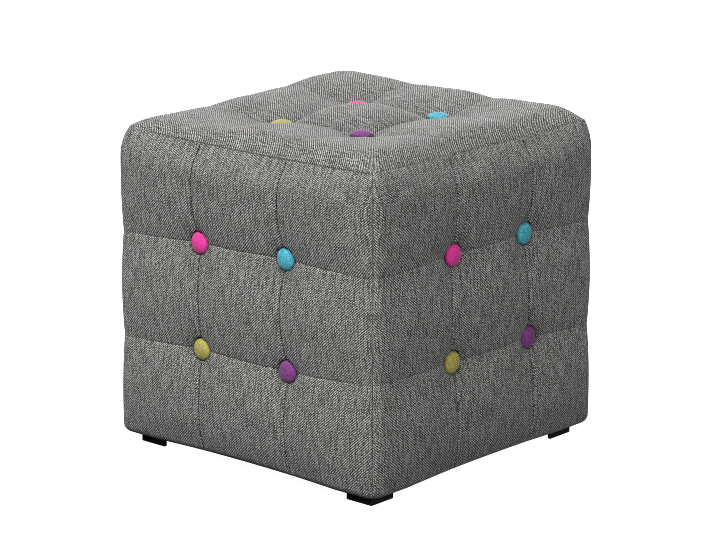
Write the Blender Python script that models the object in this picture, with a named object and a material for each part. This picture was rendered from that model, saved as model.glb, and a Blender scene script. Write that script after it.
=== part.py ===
"""Cube pouf stool, about 40 cm each way, in grey twill with coloured buttons.

Four padded side panels and a padded top panel meet at sewn, mitred seams. Each panel
is one filled solid with nine puffs: two level channels, two upright tucks and four
buttons pulled into it. A plain board closes the underside, and four angle-shaped
feet stand under its corners. Front is -Y, right is +X, up is +Z, the floor is z = 0.
"""
import math

import bmesh
import bpy
from mathutils import Matrix, Vector

# Driving dimensions, in metres.
HALF_WIDTH = 0.200          # body, from its middle to a side panel's plane
FOOT_HEIGHT = 0.013
HEM_HEIGHT = 0.0133         # underside of the side panels at the corners
SEAM_HEIGHT = 0.386         # seam between side panels and top panel, at the corners
PAD_DEPTH = 0.040           # padding behind a panel's face
SEAM_GAP = 0.0003           # clearance between neighbouring solids
PANEL_SHIFT = SEAM_GAP / math.sqrt(2.0)

CORNER_RADIUS = 0.016       # upright edges of the cube
CORNER_REACH = 0.026        # stretch beside an upright edge that its round can take up
HEM_RADIUS = 0.010          # roll-under at the hem
HEM_FLARE = 0.003           # the body is this much wider at the hem, on each side
SEAM_INSET = 0.007          # the top seam lies this far inside the side's plane
SEAM_ROLL = 0.035           # height over which a side panel rolls in to the seam
SEAM_SAG = 0.0025           # dip of the top seam between two corners
HEM_BOW = 0.003             # lift of the hem between two feet

RIM_HALF = HALF_WIDTH - SEAM_INSET      # half-width of the top seam
INNER_HALF = RIM_HALF - PAD_DEPTH       # half-width between the panels' backs
INNER_TOP = SEAM_HEIGHT - PAD_DEPTH     # back of the top panel

SIDE_CROWN = 0.008          # bulge of a side panel beyond its plane
CROWN_REACH = 0.045         # it rises to that within this distance of the hem and the seam
CHANNEL_DEPTH = 0.0070      # level channel, in the middle of a panel
CHANNEL_DEPTH_AT_EDGE = 0.0025
TUCK_DEPTH = 0.0030
PULL_DEPTH = 0.0040         # extra pull of a side button
PULL_REACH = 0.020
OUTER_CREST = 0.140         # crest of the outer puffs, from the panel's middle
TOP_ROW_CREST = 0.55        # crest of the top row, as a share of the way up to the seam
LOW_ROW_CREST = 0.45        # crest of the low row, as a share of the way up from the hem

TOP_RIM_REACH = 0.036       # the top panel rounds over from its rim within this width
TOP_RIM_POWER = 3.0
TOP_OUTER_CREST = 0.160     # crest of the top's outer puffs, from its middle
TOP_CHANNEL_DEPTH = 0.0135
TOP_CHANNEL_DEPTH_AT_EDGE = 0.0035
TOP_CHANNEL_FADE = 0.066    # a top channel grows shallower from here out to the outer crest
TOP_VALLEY_POWER = 2.5
TOP_PULL_DEPTH = 0.0046     # extra pull at the edge of a top button
TOP_PULL_REACH = 0.0175
TOP_CREST_SPACING = 0.120   # from the middle of the top to the places that its crests are given for

BUTTON_RADIUS = 0.0136
BUTTON_RISE = 0.0088
BUTTON_EDGE = 0.0030        # straight part of a button's rim
BUTTON_ROUND = 0.0012
BUTTON_SIDES = 16
SEAT_RADIUS = BUTTON_RADIUS + 0.0005
SEAT_SIDES = 24
SIDE_SEAT = 0.1935          # plane that a side button is pulled down to

FOOT_ARM = 0.038
FOOT_WALL = 0.0045
FOOT_PLATE = 0.003          # fixing plate behind the foot's two walls
FOOT_CORNER = 0.1825        # the foot's outer corner, from the middle
FOOT_EDGE_ROUND = 0.0006
BASE_RECESS = 0.0035        # underside board, above the hem at the corners
BASE_THICKNESS = 0.012

# Cells between neighbouring lines are cut into this many strips of faces.
ARC_STEPS = 4
CELL_STEPS = 7
WIDENING = 1.3              # strips grow wider from a panel's edge to its first line
SMOOTH_BELOW = math.radians(40.0)

# Buttons of each side: colour, across, height. Across runs to the right as the side is
# looked at from outside. The front and right sides are uneven, as on the real stool.
SIDE_BUTTONS = {
    "front": (("pink", -0.0660, 0.2665), ("turquoise", 0.0682, 0.2700),
              ("lime", -0.0640, 0.1400), ("purple", 0.0705, 0.1393)),
    "right": (("pink", -0.0610, 0.2700), ("turquoise", 0.0675, 0.2715),
              ("lime", -0.0615, 0.1445), ("purple", 0.0770, 0.1445)),
    "back": (("pink", -0.0665, 0.2680), ("turquoise", 0.0665, 0.2690),
             ("lime", -0.0665, 0.1405), ("purple", 0.0665, 0.1415)),
    "left": (("pink", -0.0665, 0.2690), ("turquoise", 0.0665, 0.2680),
             ("lime", -0.0665, 0.1415), ("purple", 0.0665, 0.1400)),
}

# Buttons of the top: colour, x, y, height of the plane that it is pulled down to.
TOP_BUTTONS = (("lime", -0.0626, -0.0620, 0.3806), ("purple", 0.0650, -0.0650, 0.3866),
               ("turquoise", 0.0670, 0.0680, 0.3868), ("pink", -0.0595, 0.0690, 0.3833))

# Heights of the top's nine puffs: each row from left to right, the front row first. The
# seat is worn lowest at its front left corner.
TOP_CRESTS = ((0.3950, 0.4037, 0.4050), (0.3974, 0.4058, 0.4067), (0.4032, 0.4021, 0.4026))

# Upright corners, named after the side that has them at its left end: where the low and
# the high channel reach the corner, and how much rounder it grows up to the seam.
CORNERS = {
    "front": (0.133, 0.260, 0.010),
    "right": (0.147, 0.2675, 0.005),
    "back": (0.136, 0.265, 0.000),
    "left": (0.138, 0.264, 0.005),
}

# Upright tucks: across at the hem, bow below, between and above the buttons, across at
# the top seam. A bow is how far the line swings sideways halfway along its stretch.
TUCKS = {
    "front": ((-0.0595, -0.0016, 0.0015, -0.0070, -0.0668), (0.0776, -0.0036, -0.0057, -0.0070, 0.0664)),
    "right": ((-0.0604, 0.0013, -0.0089, 0.0000, -0.0620), (0.0784, 0.0020, -0.0039, 0.0090, 0.0669)),
    "back": ((-0.0660, -0.0030, 0.0030, -0.0060, -0.0680), (0.0670, 0.0040, -0.0030, 0.0060, 0.0680)),
    "left": ((-0.0660, 0.0030, -0.0030, 0.0060, -0.0670), (0.0660, -0.0040, 0.0030, -0.0060, 0.0670)),
}

# Sides in the order that they follow each other round the cube, and their quarter turns.
SIDES = ("front", "right", "back", "left")
NEXT_SIDE = {"front": "right", "right": "back", "back": "left", "left": "front"}

# Colours as linear red, green and blue.
TWILL_GREY = (0.155, 0.155, 0.152)
BASE_BLACK = (0.012, 0.012, 0.013)
FOOT_BLACK = (0.008, 0.008, 0.009)
BUTTON_COLOURS = {
    "pink": (0.70, 0.035, 0.29),
    "turquoise": (0.075, 0.34, 0.42),
    "lime": (0.36, 0.33, 0.075),
    "purple": (0.19, 0.035, 0.20),
}


def clear_scene():
    for old in list(bpy.data.objects):
        bpy.data.objects.remove(old, do_unlink=True)


def make_material(name, colour, roughness):
    material = bpy.data.materials.new(name)
    material.use_nodes = True
    shader = material.node_tree.nodes["Principled BSDF"]
    shader.inputs["Base Color"].default_value = (*colour, 1.0)
    shader.inputs["Roughness"].default_value = roughness
    shader.inputs["Metallic"].default_value = 0.0
    return material


def finish_mesh(name, bm, material=None, smooth_below=None):
    """Turn a bmesh into a mesh with its faces pointing out, and smooth what is round."""
    bmesh.ops.recalc_face_normals(bm, faces=bm.faces)
    mesh = bpy.data.meshes.new(name)
    bm.to_mesh(mesh)
    bm.free()
    if material:
        mesh.materials.append(material)
    if smooth_below:
        mesh.shade_smooth()
        mesh.set_sharp_from_angle(angle=smooth_below)
    return mesh


def place_object(name, mesh, location=(0.0, 0.0, 0.0)):
    thing = bpy.data.objects.new(name, mesh)
    thing.location = location
    bpy.context.scene.collection.objects.link(thing)
    return thing


def between(low, high, share):
    return low + (high - low) * share


# ---------------------------------------------------------------- lines on a side panel

def tuck_across(side, number, height):
    """Across position of a tuck at a height: from the hem through two buttons to the seam."""
    buttons = SIDE_BUTTONS[side]
    hem, low_bow, middle_bow, high_bow, seam = TUCKS[side][number]
    high_across, high_height = buttons[number][1:]
    low_across, low_height = buttons[number + 2][1:]
    if height < low_height:
        share = (height - HEM_HEIGHT) / (low_height - HEM_HEIGHT)
        return between(hem, low_across, share) + low_bow * math.sin(math.pi * share)
    if height < high_height:
        share = (height - low_height) / (high_height - low_height)
        return between(low_across, high_across, share) + middle_bow * math.sin(math.pi * share)
    share = min(1.0, (height - high_height) / (SEAM_HEIGHT - high_height))
    return between(high_across, seam, share) + high_bow * math.sin(math.pi * share)


def channel_height(side, level, across):
    """Height of a level channel (0 low, 1 high): from corner to corner through two buttons."""
    first = SIDE_BUTTONS[side][2 - 2 * level]
    second = SIDE_BUTTONS[side][3 - 2 * level]
    stops = ((-HALF_WIDTH, CORNERS[side][level]), first[1:], second[1:],
             (HALF_WIDTH, CORNERS[NEXT_SIDE[side]][level]))
    for (left, left_height), (right, right_height) in zip(stops, stops[1:]):
        if across <= right:
            return between(left_height, right_height, (across - left) / (right - left))
    return stops[-1][1]


def hem_height(across):
    return HEM_HEIGHT + HEM_BOW * max(0.0, 1.0 - (across / OUTER_CREST) ** 2)


def seam_height(across):
    return SEAM_HEIGHT - SEAM_SAG * max(0.0, 1.0 - (across / HALF_WIDTH) ** 2)


# ---------------------------------------------------------------- surface of a side panel

def ring_point(along, half_width, radius, reach):
    """Point on a square ring with round corners: across and outward, for one of its sides.

    The last stretch of along, as long as reach, is wrapped round half a corner."""
    straight = half_width - radius
    if abs(along) <= straight:
        return along, half_width
    angle = math.atan2(abs(along) - straight, reach)
    across = straight + radius * math.sin(angle)
    return math.copysign(across, along), straight + radius * math.cos(angle)


def parabola(position, crest, line):
    """0 on a puff's crest, 1 on the line that bounds it."""
    return ((position - crest) / (line - crest)) ** 2


def seam_roll(across, height):
    """0 below the roll at the top of a side panel, rising to 1 at the seam."""
    return max(0.0, 1.0 - (seam_height(across) - height) / SEAM_ROLL) ** 2


def side_inset(across, height):
    """How far the plain panel lies inside its plane: the hem's and the seam's roll, less the flare."""
    inset = SEAM_INSET * seam_roll(across, height)
    above_hem = height - hem_height(across)
    below_seam = seam_height(across) - height
    if above_hem < HEM_RADIUS:
        drop = HEM_RADIUS - above_hem
        inset += HEM_RADIUS - math.sqrt(max(0.0, HEM_RADIUS ** 2 - drop ** 2))
    return inset - HEM_FLARE * below_seam / (above_hem + below_seam)


def row_valley(side, across, height):
    """1 on a level channel, 0 on the crests of the rows of puffs."""
    low = channel_height(side, 0, across)
    high = channel_height(side, 1, across)
    top_crest = between(high, seam_height(across), TOP_ROW_CREST)
    low_crest = between(hem_height(across), low, LOW_ROW_CREST)
    if height > top_crest or height < low_crest:
        return 0.0
    if height > high:
        return parabola(height, top_crest, high)
    if height > low:
        return parabola(height, between(low, high, 0.5), high)
    return parabola(height, low_crest, low)


def column_valley(side, across, height):
    """1 on an upright tuck, 0 on the crests of the columns of puffs."""
    left = tuck_across(side, 0, height)
    right = tuck_across(side, 1, height)
    if abs(across) > OUTER_CREST:
        return 0.0
    if across < left:
        return parabola(across, -OUTER_CREST, left)
    if across > right:
        return parabola(across, OUTER_CREST, right)
    return parabola(across, between(left, right, 0.5), right)


def side_bulge(side, across, height):
    """Outward distance of the puffed face from the plain panel."""
    toward_edge = (abs(across) / HALF_WIDTH) ** 4
    near_rims = max(0.0, min(height - hem_height(across), seam_height(across) - height))
    into_crown = min(1.0, near_rims / CROWN_REACH)
    crown = SIDE_CROWN * (1.0 - toward_edge) * into_crown * (2.0 - into_crown)
    channel = between(CHANNEL_DEPTH, CHANNEL_DEPTH_AT_EDGE, toward_edge)
    sunk = channel * row_valley(side, across, height)
    sunk += TUCK_DEPTH * column_valley(side, across, height)
    for _, button_across, button_height in SIDE_BUTTONS[side]:
        distance = math.hypot(across - button_across, height - button_height)
        sunk += PULL_DEPTH * math.exp(-distance / PULL_REACH)
    return crown - sunk * min(1.0, near_rims / HEM_RADIUS)


def side_point(side, across, height):
    """Point of the puffed face, in the panel's own axes: across, outward, up."""
    outward = side_bulge(side, across, height) - side_inset(across, height)
    corner = CORNERS[side if across < 0.0 else NEXT_SIDE[side]]
    radius = CORNER_RADIUS + corner[2] * seam_roll(across, height)
    on_ring = ring_point(across, HALF_WIDTH + outward, radius + outward, radius)
    return Vector((*on_ring, height))


# ---------------------------------------------------------------- grids of faces

def edge_to_line(edge, arc, line):
    """Stations from a round edge to a line: close together on the arc, then ever wider."""
    on_arc = [between(edge, arc, step / ARC_STEPS) for step in range(ARC_STEPS)]
    rest = [between(arc, line, (step / CELL_STEPS) ** WIDENING) for step in range(CELL_STEPS + 1)]
    return on_arc + rest


def column_stations(side, height):
    """Across positions of the upright mesh lines of a side panel, at one height."""
    left = tuck_across(side, 0, height)
    right = tuck_across(side, 1, height)
    arc = HALF_WIDTH - CORNER_REACH
    first = edge_to_line(-HALF_WIDTH, -arc, left)
    last = edge_to_line(HALF_WIDTH, arc, right)
    middle = [between(left, right, step / CELL_STEPS) for step in range(1, CELL_STEPS)]
    return first + middle + last[::-1]


def row_stations(side, across):
    """Heights of the level mesh lines of a side panel, at one across position."""
    hem = hem_height(across)
    low = channel_height(side, 0, across)
    high = channel_height(side, 1, across)
    seam = seam_height(across)
    quarter = math.pi / 2.0 / ARC_STEPS
    rolled = [hem + HEM_RADIUS * (1.0 - math.cos(quarter * step)) for step in range(ARC_STEPS)]
    first = [between(hem + HEM_RADIUS, low, step / CELL_STEPS) for step in range(CELL_STEPS + 1)]
    middle = [between(low, high, step / CELL_STEPS) for step in range(1, CELL_STEPS)]
    last = [between(high, seam, step / CELL_STEPS) for step in range(CELL_STEPS + 1)]
    return rolled + first + middle + last


def grid_place(columns_at, rows_at, column, row):
    """Where a column line and a row line cross, both being slightly curved."""
    across = 0.0
    height = rows_at(across)[row]
    for _ in range(6):
        across = columns_at(height)[column]
        height = rows_at(across)[row]
    return across, height


def padded_grid(columns, rows, face_point, back_point):
    """A face of columns x rows vertices with padding behind it, closed by a flat back."""
    bm = bmesh.new()
    bmesh.ops.create_grid(bm, x_segments=columns - 1, y_segments=rows - 1, size=1.0)
    back_of = {}
    for vertex in bm.verts:
        column = round((vertex.co.x + 1.0) / 2.0 * (columns - 1))
        row = round((vertex.co.y + 1.0) / 2.0 * (rows - 1))
        vertex.co = face_point(column, row)
        if column in (0, columns - 1) or row in (0, rows - 1):
            back_of[vertex.co.copy().freeze()] = back_point(column, row)
    rim = [edge for edge in bm.edges if edge.is_boundary]
    extruded = bmesh.ops.extrude_edge_only(bm, edges=rim)["geom"]
    walls = [item for item in extruded if isinstance(item, bmesh.types.BMFace)]
    for vertex in (item for item in extruded if isinstance(item, bmesh.types.BMVert)):
        vertex.co = back_of[vertex.co.copy().freeze()]
    bmesh.ops.triangulate(bm, faces=walls, quad_method="SHORT_EDGE")
    back_rim = [edge for edge in bm.edges if edge.is_boundary]
    bmesh.ops.contextual_create(bm, geom=back_rim)
    return bm


# ---------------------------------------------------------------- the pieces

# From the front panel's own axes (across, outward, up) to the stool's.
FACING_FRONT = Matrix(((1.0, 0.0, 0.0), (0.0, -1.0, 0.0), (0.0, 0.0, 1.0))).to_4x4()
# From (across, up, outward), as a cutter is built, to a panel's own axes.
DEPTH_OUTWARD = Matrix(((1.0, 0.0, 0.0), (0.0, 0.0, 1.0), (0.0, 1.0, 0.0))).to_4x4()


def quarter_turn(side):
    """Turn from a side panel's own axes to its place on the cube."""
    return Matrix.Rotation(math.pi / 2.0 * SIDES.index(side), 4, "Z") @ FACING_FRONT


def press_seats(panel, places, turn, shift):
    """Press a round seat into a panel under each pulled button.

    Places are given across the panel's face, with the plane's distance outward."""
    name = f"{panel.name}_seats"
    bm = bmesh.new()
    for across, height, seat in places:
        stub = bmesh.ops.create_cone(bm, cap_ends=True, segments=SEAT_SIDES, radius1=SEAT_RADIUS,
                                     radius2=SEAT_RADIUS, depth=PAD_DEPTH)["verts"]
        bmesh.ops.translate(bm, verts=stub, vec=(across, height, seat + PAD_DEPTH / 2.0))
    bmesh.ops.transform(bm, matrix=turn, verts=bm.verts)
    cutter = place_object(name, finish_mesh(name, bm), shift)
    cutter.hide_render = True
    cutter.display_type = "WIRE"
    cut = panel.modifiers.new("button seats", "BOOLEAN")
    cut.operation = "DIFFERENCE"
    cut.solver = "EXACT"
    cut.object = cutter
    panel.location = shift


def make_side_panel(side, material):
    """One padded side: puffed face, hem at the bottom, mitred edges, flat back."""
    columns = len(column_stations(side, HEM_HEIGHT))
    rows = len(row_stations(side, 0.0))

    def place(column, row):
        return grid_place(lambda height: column_stations(side, height),
                          lambda across: row_stations(side, across), column, row)

    def face_point(column, row):
        return side_point(side, *place(column, row))

    def back_point(column, row):
        across, height = place(column, row)
        hem = hem_height(across)
        share = (height - hem) / (seam_height(across) - hem)
        inner_across = across * INNER_HALF / HALF_WIDTH
        return Vector((inner_across, INNER_HALF, between(hem, INNER_TOP, share)))

    bm = padded_grid(columns, rows, face_point, back_point)
    turn = quarter_turn(side)
    bmesh.ops.transform(bm, matrix=turn, verts=bm.verts)
    name = f"{side}_panel"
    panel = place_object(name, finish_mesh(name, bm, material, SMOOTH_BELOW))
    outward = turn.to_3x3() @ Vector((0.0, 1.0, 0.0))
    seats = [(across, height, SIDE_SEAT) for _, across, height in SIDE_BUTTONS[side]]
    press_seats(panel, seats, turn @ DEPTH_OUTWARD, outward * PANEL_SHIFT)


def top_line(number, along, buttons):
    """Place of a top channel: through its two buttons, straight on to the rims."""
    (first_along, first), (second_along, second) = buttons[number]
    share = (along - first_along) / (second_along - first_along)
    return between(first, second, min(1.0, max(0.0, share)))


def top_places():
    """Buttons of the top by line: two lines across x, then two lines across y."""
    place = {colour: (x, y) for colour, x, y, _ in TOP_BUTTONS}
    lime, purple, turquoise, pink = (place[c] for c in ("lime", "purple", "turquoise", "pink"))
    lines_x = (((lime[1], lime[0]), (pink[1], pink[0])),
               ((purple[1], purple[0]), (turquoise[1], turquoise[0])))
    lines_y = (((lime[0], lime[1]), (purple[0], purple[1])),
               ((pink[0], pink[1]), (turquoise[0], turquoise[1])))
    return lines_x, lines_y


def top_stations(low_line, high_line):
    """Positions of the top's mesh lines across one direction."""
    arc = HALF_WIDTH - CORNER_REACH
    first = edge_to_line(-RIM_HALF, -arc, low_line)
    last = edge_to_line(RIM_HALF, arc, high_line)
    middle = [between(low_line, high_line, step / CELL_STEPS) for step in range(1, CELL_STEPS)]
    return first + middle + last[::-1]


def along_side(position):
    """Place across a side panel that a place along the top's rim is sewn to."""
    arc = HALF_WIDTH - CORNER_REACH
    if abs(position) <= arc:
        return position
    past = (abs(position) - arc) / (RIM_HALF - arc)
    return math.copysign(between(arc, HALF_WIDTH, past), position)


def eased(share):
    """A share from 0 to 1 with a soft start and end."""
    share = min(1.0, max(0.0, share))
    return share * share * (3.0 - 2.0 * share)


def crest_shares(position):
    """What the three crests on a line across the top count at a place on it."""
    low = 1.0 - eased(position / TOP_CREST_SPACING + 1.0)
    high = eased(position / TOP_CREST_SPACING)
    return low, 1.0 - low - high, high


def crest_height(x, y):
    """Height of the puffs' tops, blended between the nine crests."""
    return sum(share_y * share_x * crest
               for share_y, row in zip(crest_shares(y), TOP_CRESTS)
               for share_x, crest in zip(crest_shares(x), row))


def channel_drop(position, along, low_line, high_line):
    """Drop from the puffs' tops into the two channels across one direction."""
    if abs(position) > TOP_OUTER_CREST:
        return 0.0
    if position < low_line:
        share = (position + TOP_OUTER_CREST) / (low_line + TOP_OUTER_CREST)
    elif position > high_line:
        share = (TOP_OUTER_CREST - position) / (TOP_OUTER_CREST - high_line)
    else:
        middle = between(low_line, high_line, 0.5)
        share = abs(position - middle) / (high_line - middle)
    fade = eased((abs(along) - TOP_CHANNEL_FADE) / (TOP_OUTER_CREST - TOP_CHANNEL_FADE))
    return between(TOP_CHANNEL_DEPTH, TOP_CHANNEL_DEPTH_AT_EDGE, fade) * share ** TOP_VALLEY_POWER


def rim_rounding(position):
    """1 on the top, falling over its rounded rim to 0 at the seam."""
    reach = max(0.0, (abs(position) - (RIM_HALF - TOP_RIM_REACH)) / TOP_RIM_REACH)
    return 1.0 - min(1.0, reach) ** TOP_RIM_POWER


def top_height(x, y, lines_x, lines_y):
    """Height of the crowned top: round rim, nine puffs, four pulled buttons."""
    start = seam_height(along_side(min(abs(x), abs(y))))
    drop_x = channel_drop(x, y, top_line(0, y, lines_x), top_line(1, y, lines_x))
    drop_y = channel_drop(y, x, top_line(0, x, lines_y), top_line(1, x, lines_y))
    height = crest_height(x, y) - (drop_x + drop_y - drop_x * drop_y / TOP_CHANNEL_DEPTH)
    for _, button_x, button_y, _ in TOP_BUTTONS:
        past_button = max(0.0, math.hypot(x - button_x, y - button_y) - BUTTON_RADIUS)
        height -= TOP_PULL_DEPTH * math.exp(-past_button / TOP_PULL_REACH)
    for _, button_x, button_y, seat in TOP_BUTTONS:
        if math.hypot(x - button_x, y - button_y) < BUTTON_RADIUS:
            height = max(height, seat)
    return between(start, height, rim_rounding(x) * rim_rounding(y))


def top_corner(x, y):
    """How much rounder the corner of the top nearest to a place is than the others."""
    names = {(-1.0, -1.0): "front", (1.0, -1.0): "right", (1.0, 1.0): "back", (-1.0, 1.0): "left"}
    return CORNERS[names[math.copysign(1.0, x), math.copysign(1.0, y)]][2]


def round_corner(x, y):
    """Bend the square rings of the top's mesh round the corners, the outer ones the most."""
    level = max(abs(x), abs(y))
    outer = (level * 2.0 - RIM_HALF) / RIM_HALF
    if outer <= 0.0:
        return x, y
    radius = (CORNER_RADIUS + top_corner(x, y) - SEAM_INSET) * outer
    reach = radius + SEAM_INSET * outer
    along = y if abs(x) >= abs(y) else x
    on_rim = along * RIM_HALF / level
    along += (along_side(on_rim) - on_rim) * outer
    ring_along, ring_out = ring_point(along, level, radius, reach)
    if abs(x) >= abs(y):
        return math.copysign(ring_out, x), ring_along
    return ring_along, math.copysign(ring_out, y)


def make_top_panel(material):
    """The padded top: seam all round, crowned, mitred edges, flat back."""
    lines_x, lines_y = top_places()
    count = len(top_stations(-RIM_HALF, RIM_HALF))

    def columns_at(y):
        return top_stations(top_line(0, y, lines_x), top_line(1, y, lines_x))

    def rows_at(x):
        return top_stations(top_line(0, x, lines_y), top_line(1, x, lines_y))

    def face_point(column, row):
        x, y = grid_place(columns_at, rows_at, column, row)
        height = top_height(x, y, lines_x, lines_y)
        return Vector((*round_corner(x, y), height))

    def back_point(column, row):
        x, y = grid_place(columns_at, rows_at, column, row)
        inner_share = INNER_HALF / HALF_WIDTH
        return Vector((along_side(x) * inner_share, along_side(y) * inner_share, INNER_TOP))

    bm = padded_grid(count, count, face_point, back_point)
    panel = place_object("top_panel", finish_mesh("top_panel", bm, material, SMOOTH_BELOW))
    seats = [(x, y, seat) for _, x, y, seat in TOP_BUTTONS]
    press_seats(panel, seats, Matrix.Identity(4), (0.0, 0.0, PANEL_SHIFT))


def button_profile():
    """Half outline of a covered button, from its flat back round the rim to its dome."""
    dome = BUTTON_RISE - BUTTON_EDGE
    outline = [(0.0, 0.0), (BUTTON_RADIUS - BUTTON_ROUND, 0.0), (BUTTON_RADIUS, BUTTON_ROUND),
               (BUTTON_RADIUS, BUTTON_EDGE)]
    for degrees in (35.0, 62.0):
        angle = math.radians(degrees)
        outline.append((BUTTON_RADIUS * math.cos(angle), BUTTON_EDGE + dome * math.sin(angle)))
    outline.append((0.0, BUTTON_RISE))
    return outline


def make_button_mesh(name, material):
    """A domed button turned about +Z with its back at z = 0."""
    bm = bmesh.new()
    points = [bm.verts.new((radius, 0.0, height)) for radius, height in button_profile()]
    outline = [bm.edges.new(pair) for pair in zip(points, points[1:])]
    bmesh.ops.spin(bm, geom=points + outline, cent=(0.0, 0.0, 0.0), axis=(0.0, 0.0, 1.0),
                   angle=math.tau, steps=BUTTON_SIDES, use_merge=True)
    bmesh.ops.remove_doubles(bm, verts=bm.verts, dist=0.00001)
    return finish_mesh(name, bm, material, SMOOTH_BELOW)


def make_buttons(felts):
    """Four covered buttons on each of the five panels, seated with the usual clearance."""
    meshes = {colour: make_button_mesh(f"{colour}_button", felt) for colour, felt in felts.items()}
    lift = PANEL_SHIFT + SEAM_GAP
    for side in SIDES:
        turn = quarter_turn(side)
        outward = turn.to_3x3() @ Vector((0.0, 1.0, 0.0))
        for colour, across, height in SIDE_BUTTONS[side]:
            place = turn @ Vector((across, SIDE_SEAT + lift, height))
            button = place_object(f"{side}_button_{colour}", meshes[colour], place)
            button.rotation_euler = outward.to_track_quat("Z", "Y").to_euler()
    for colour, x, y, seat in TOP_BUTTONS:
        place_object(f"top_button_{colour}", meshes[colour], (x, y, seat + lift))


def make_base_board(material):
    """Plain board between the side panels, covered in black cloth."""
    bottom = HEM_HEIGHT + BASE_RECESS
    bm = bmesh.new()
    bmesh.ops.create_cube(bm, size=1.0)
    bmesh.ops.scale(bm, vec=(2.0 * INNER_HALF, 2.0 * INNER_HALF, BASE_THICKNESS), verts=bm.verts)
    bmesh.ops.translate(bm, vec=(0.0, 0.0, bottom + BASE_THICKNESS / 2.0), verts=bm.verts)
    place_object("base_board", finish_mesh("base_board", bm, material))


def make_foot_mesh(material):
    """Moulded corner foot: two walls in an angle under a fixing plate.

    Its outer corner is the origin, its walls run along +X and +Y, its sole is z = 0."""
    place = {-1.0: 0.0, 0.0: FOOT_WALL, 1.0: FOOT_ARM}
    bm = bmesh.new()
    bmesh.ops.create_grid(bm, x_segments=2, y_segments=2, size=1.0)
    for vertex in bm.verts:
        vertex.co = (place[round(vertex.co.x)], place[round(vertex.co.y)], FOOT_HEIGHT - FOOT_PLATE)
    pocket_roof = max(bm.faces, key=lambda face: face.calc_center_median().length)
    walls = [face for face in bm.faces if face is not pocket_roof]
    plate = bmesh.ops.extrude_face_region(bm, geom=bm.faces[:])["geom"]
    raised = [item for item in plate if isinstance(item, bmesh.types.BMVert)]
    bmesh.ops.translate(bm, verts=raised, vec=(0.0, 0.0, FOOT_PLATE))
    soles = bmesh.ops.extrude_face_region(bm, geom=walls)["geom"]
    lowered = [item for item in soles if isinstance(item, bmesh.types.BMVert)]
    bmesh.ops.translate(bm, verts=lowered, vec=(0.0, 0.0, FOOT_PLATE - FOOT_HEIGHT))
    bmesh.ops.delete(bm, geom=walls, context="FACES")
    return finish_mesh("corner_foot", bm, material)


def make_feet(material):
    """One foot under each corner, each a quarter turn on from the last."""
    mesh = make_foot_mesh(material)
    corners = (("front_left", -1, -1), ("front_right", 1, -1), ("back_right", 1, 1),
               ("back_left", -1, 1))
    for turns, (name, toward_x, toward_y) in enumerate(corners):
        place = (toward_x * FOOT_CORNER, toward_y * FOOT_CORNER, 0.0)
        foot = place_object(f"foot_{name}", mesh, place)
        foot.rotation_euler.z = math.pi / 2.0 * turns
        round_off = foot.modifiers.new("moulded edges", "BEVEL")
        round_off.width = FOOT_EDGE_ROUND
        round_off.segments = 1


def make_stool():
    """All the pieces of the stool, each in its own object."""
    twill = make_material("grey_twill", TWILL_GREY, 0.95)
    felts = {colour: make_material(f"{colour}_felt", value, 0.9)
             for colour, value in BUTTON_COLOURS.items()}
    for side in SIDES:
        make_side_panel(side, twill)
    make_top_panel(twill)
    make_buttons(felts)
    make_base_board(make_material("black_cloth", BASE_BLACK, 0.9))
    make_feet(make_material("black_plastic", FOOT_BLACK, 0.45))


clear_scene()
make_stool()
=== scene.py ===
"""Cube pouf stool in grey twill with coloured felt buttons, dressed for its picture.

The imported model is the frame: every piece here lies in its axes, in metres, with the
front at -Y, the right side at +X and the floor at z = 0.
"""

import math

import bpy
import numpy as np
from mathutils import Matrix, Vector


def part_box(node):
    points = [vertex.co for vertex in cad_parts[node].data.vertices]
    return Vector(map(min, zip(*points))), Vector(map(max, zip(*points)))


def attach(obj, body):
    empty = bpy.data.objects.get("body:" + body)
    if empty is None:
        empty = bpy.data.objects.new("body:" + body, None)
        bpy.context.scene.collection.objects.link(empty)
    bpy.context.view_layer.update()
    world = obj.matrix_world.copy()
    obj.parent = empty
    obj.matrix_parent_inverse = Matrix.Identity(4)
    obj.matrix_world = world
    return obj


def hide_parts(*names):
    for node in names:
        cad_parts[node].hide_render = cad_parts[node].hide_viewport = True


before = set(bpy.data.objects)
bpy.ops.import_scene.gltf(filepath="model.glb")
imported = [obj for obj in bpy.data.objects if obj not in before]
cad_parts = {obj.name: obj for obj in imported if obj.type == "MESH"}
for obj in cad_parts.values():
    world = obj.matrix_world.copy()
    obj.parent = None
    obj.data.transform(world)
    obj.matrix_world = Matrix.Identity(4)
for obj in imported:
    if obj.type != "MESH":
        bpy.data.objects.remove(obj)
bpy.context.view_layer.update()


# ---------------------------------------------------------------------- base board
# A plain board closes the underside. It is covered in black spunbond dust cloth, a
# paper-like fleece of bonded fibres, stapled on before the panels go round it.

DUST_CLOTH_BLACK = "1b1b1d"
DUST_CLOTH_FIBRE = "2c2c2f"
FIBRE_LENGTH = 0.004
FIBRE_SHARE = 0.2           # how much of the cloth a fibre takes up beside its middle line
FIBRE_BUMP = 0.00015


def tone(code):
    """A colour written as sRGB hex, turned into linear red, green, blue and alpha."""
    linear = []
    for start in (0, 2, 4):
        share = int(code[start:start + 2], 16) / 255.0
        linear.append(share / 12.92 if share <= 0.04045 else ((share + 0.055) / 1.055) ** 2.4)
    return (*linear, 1.0)


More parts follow.
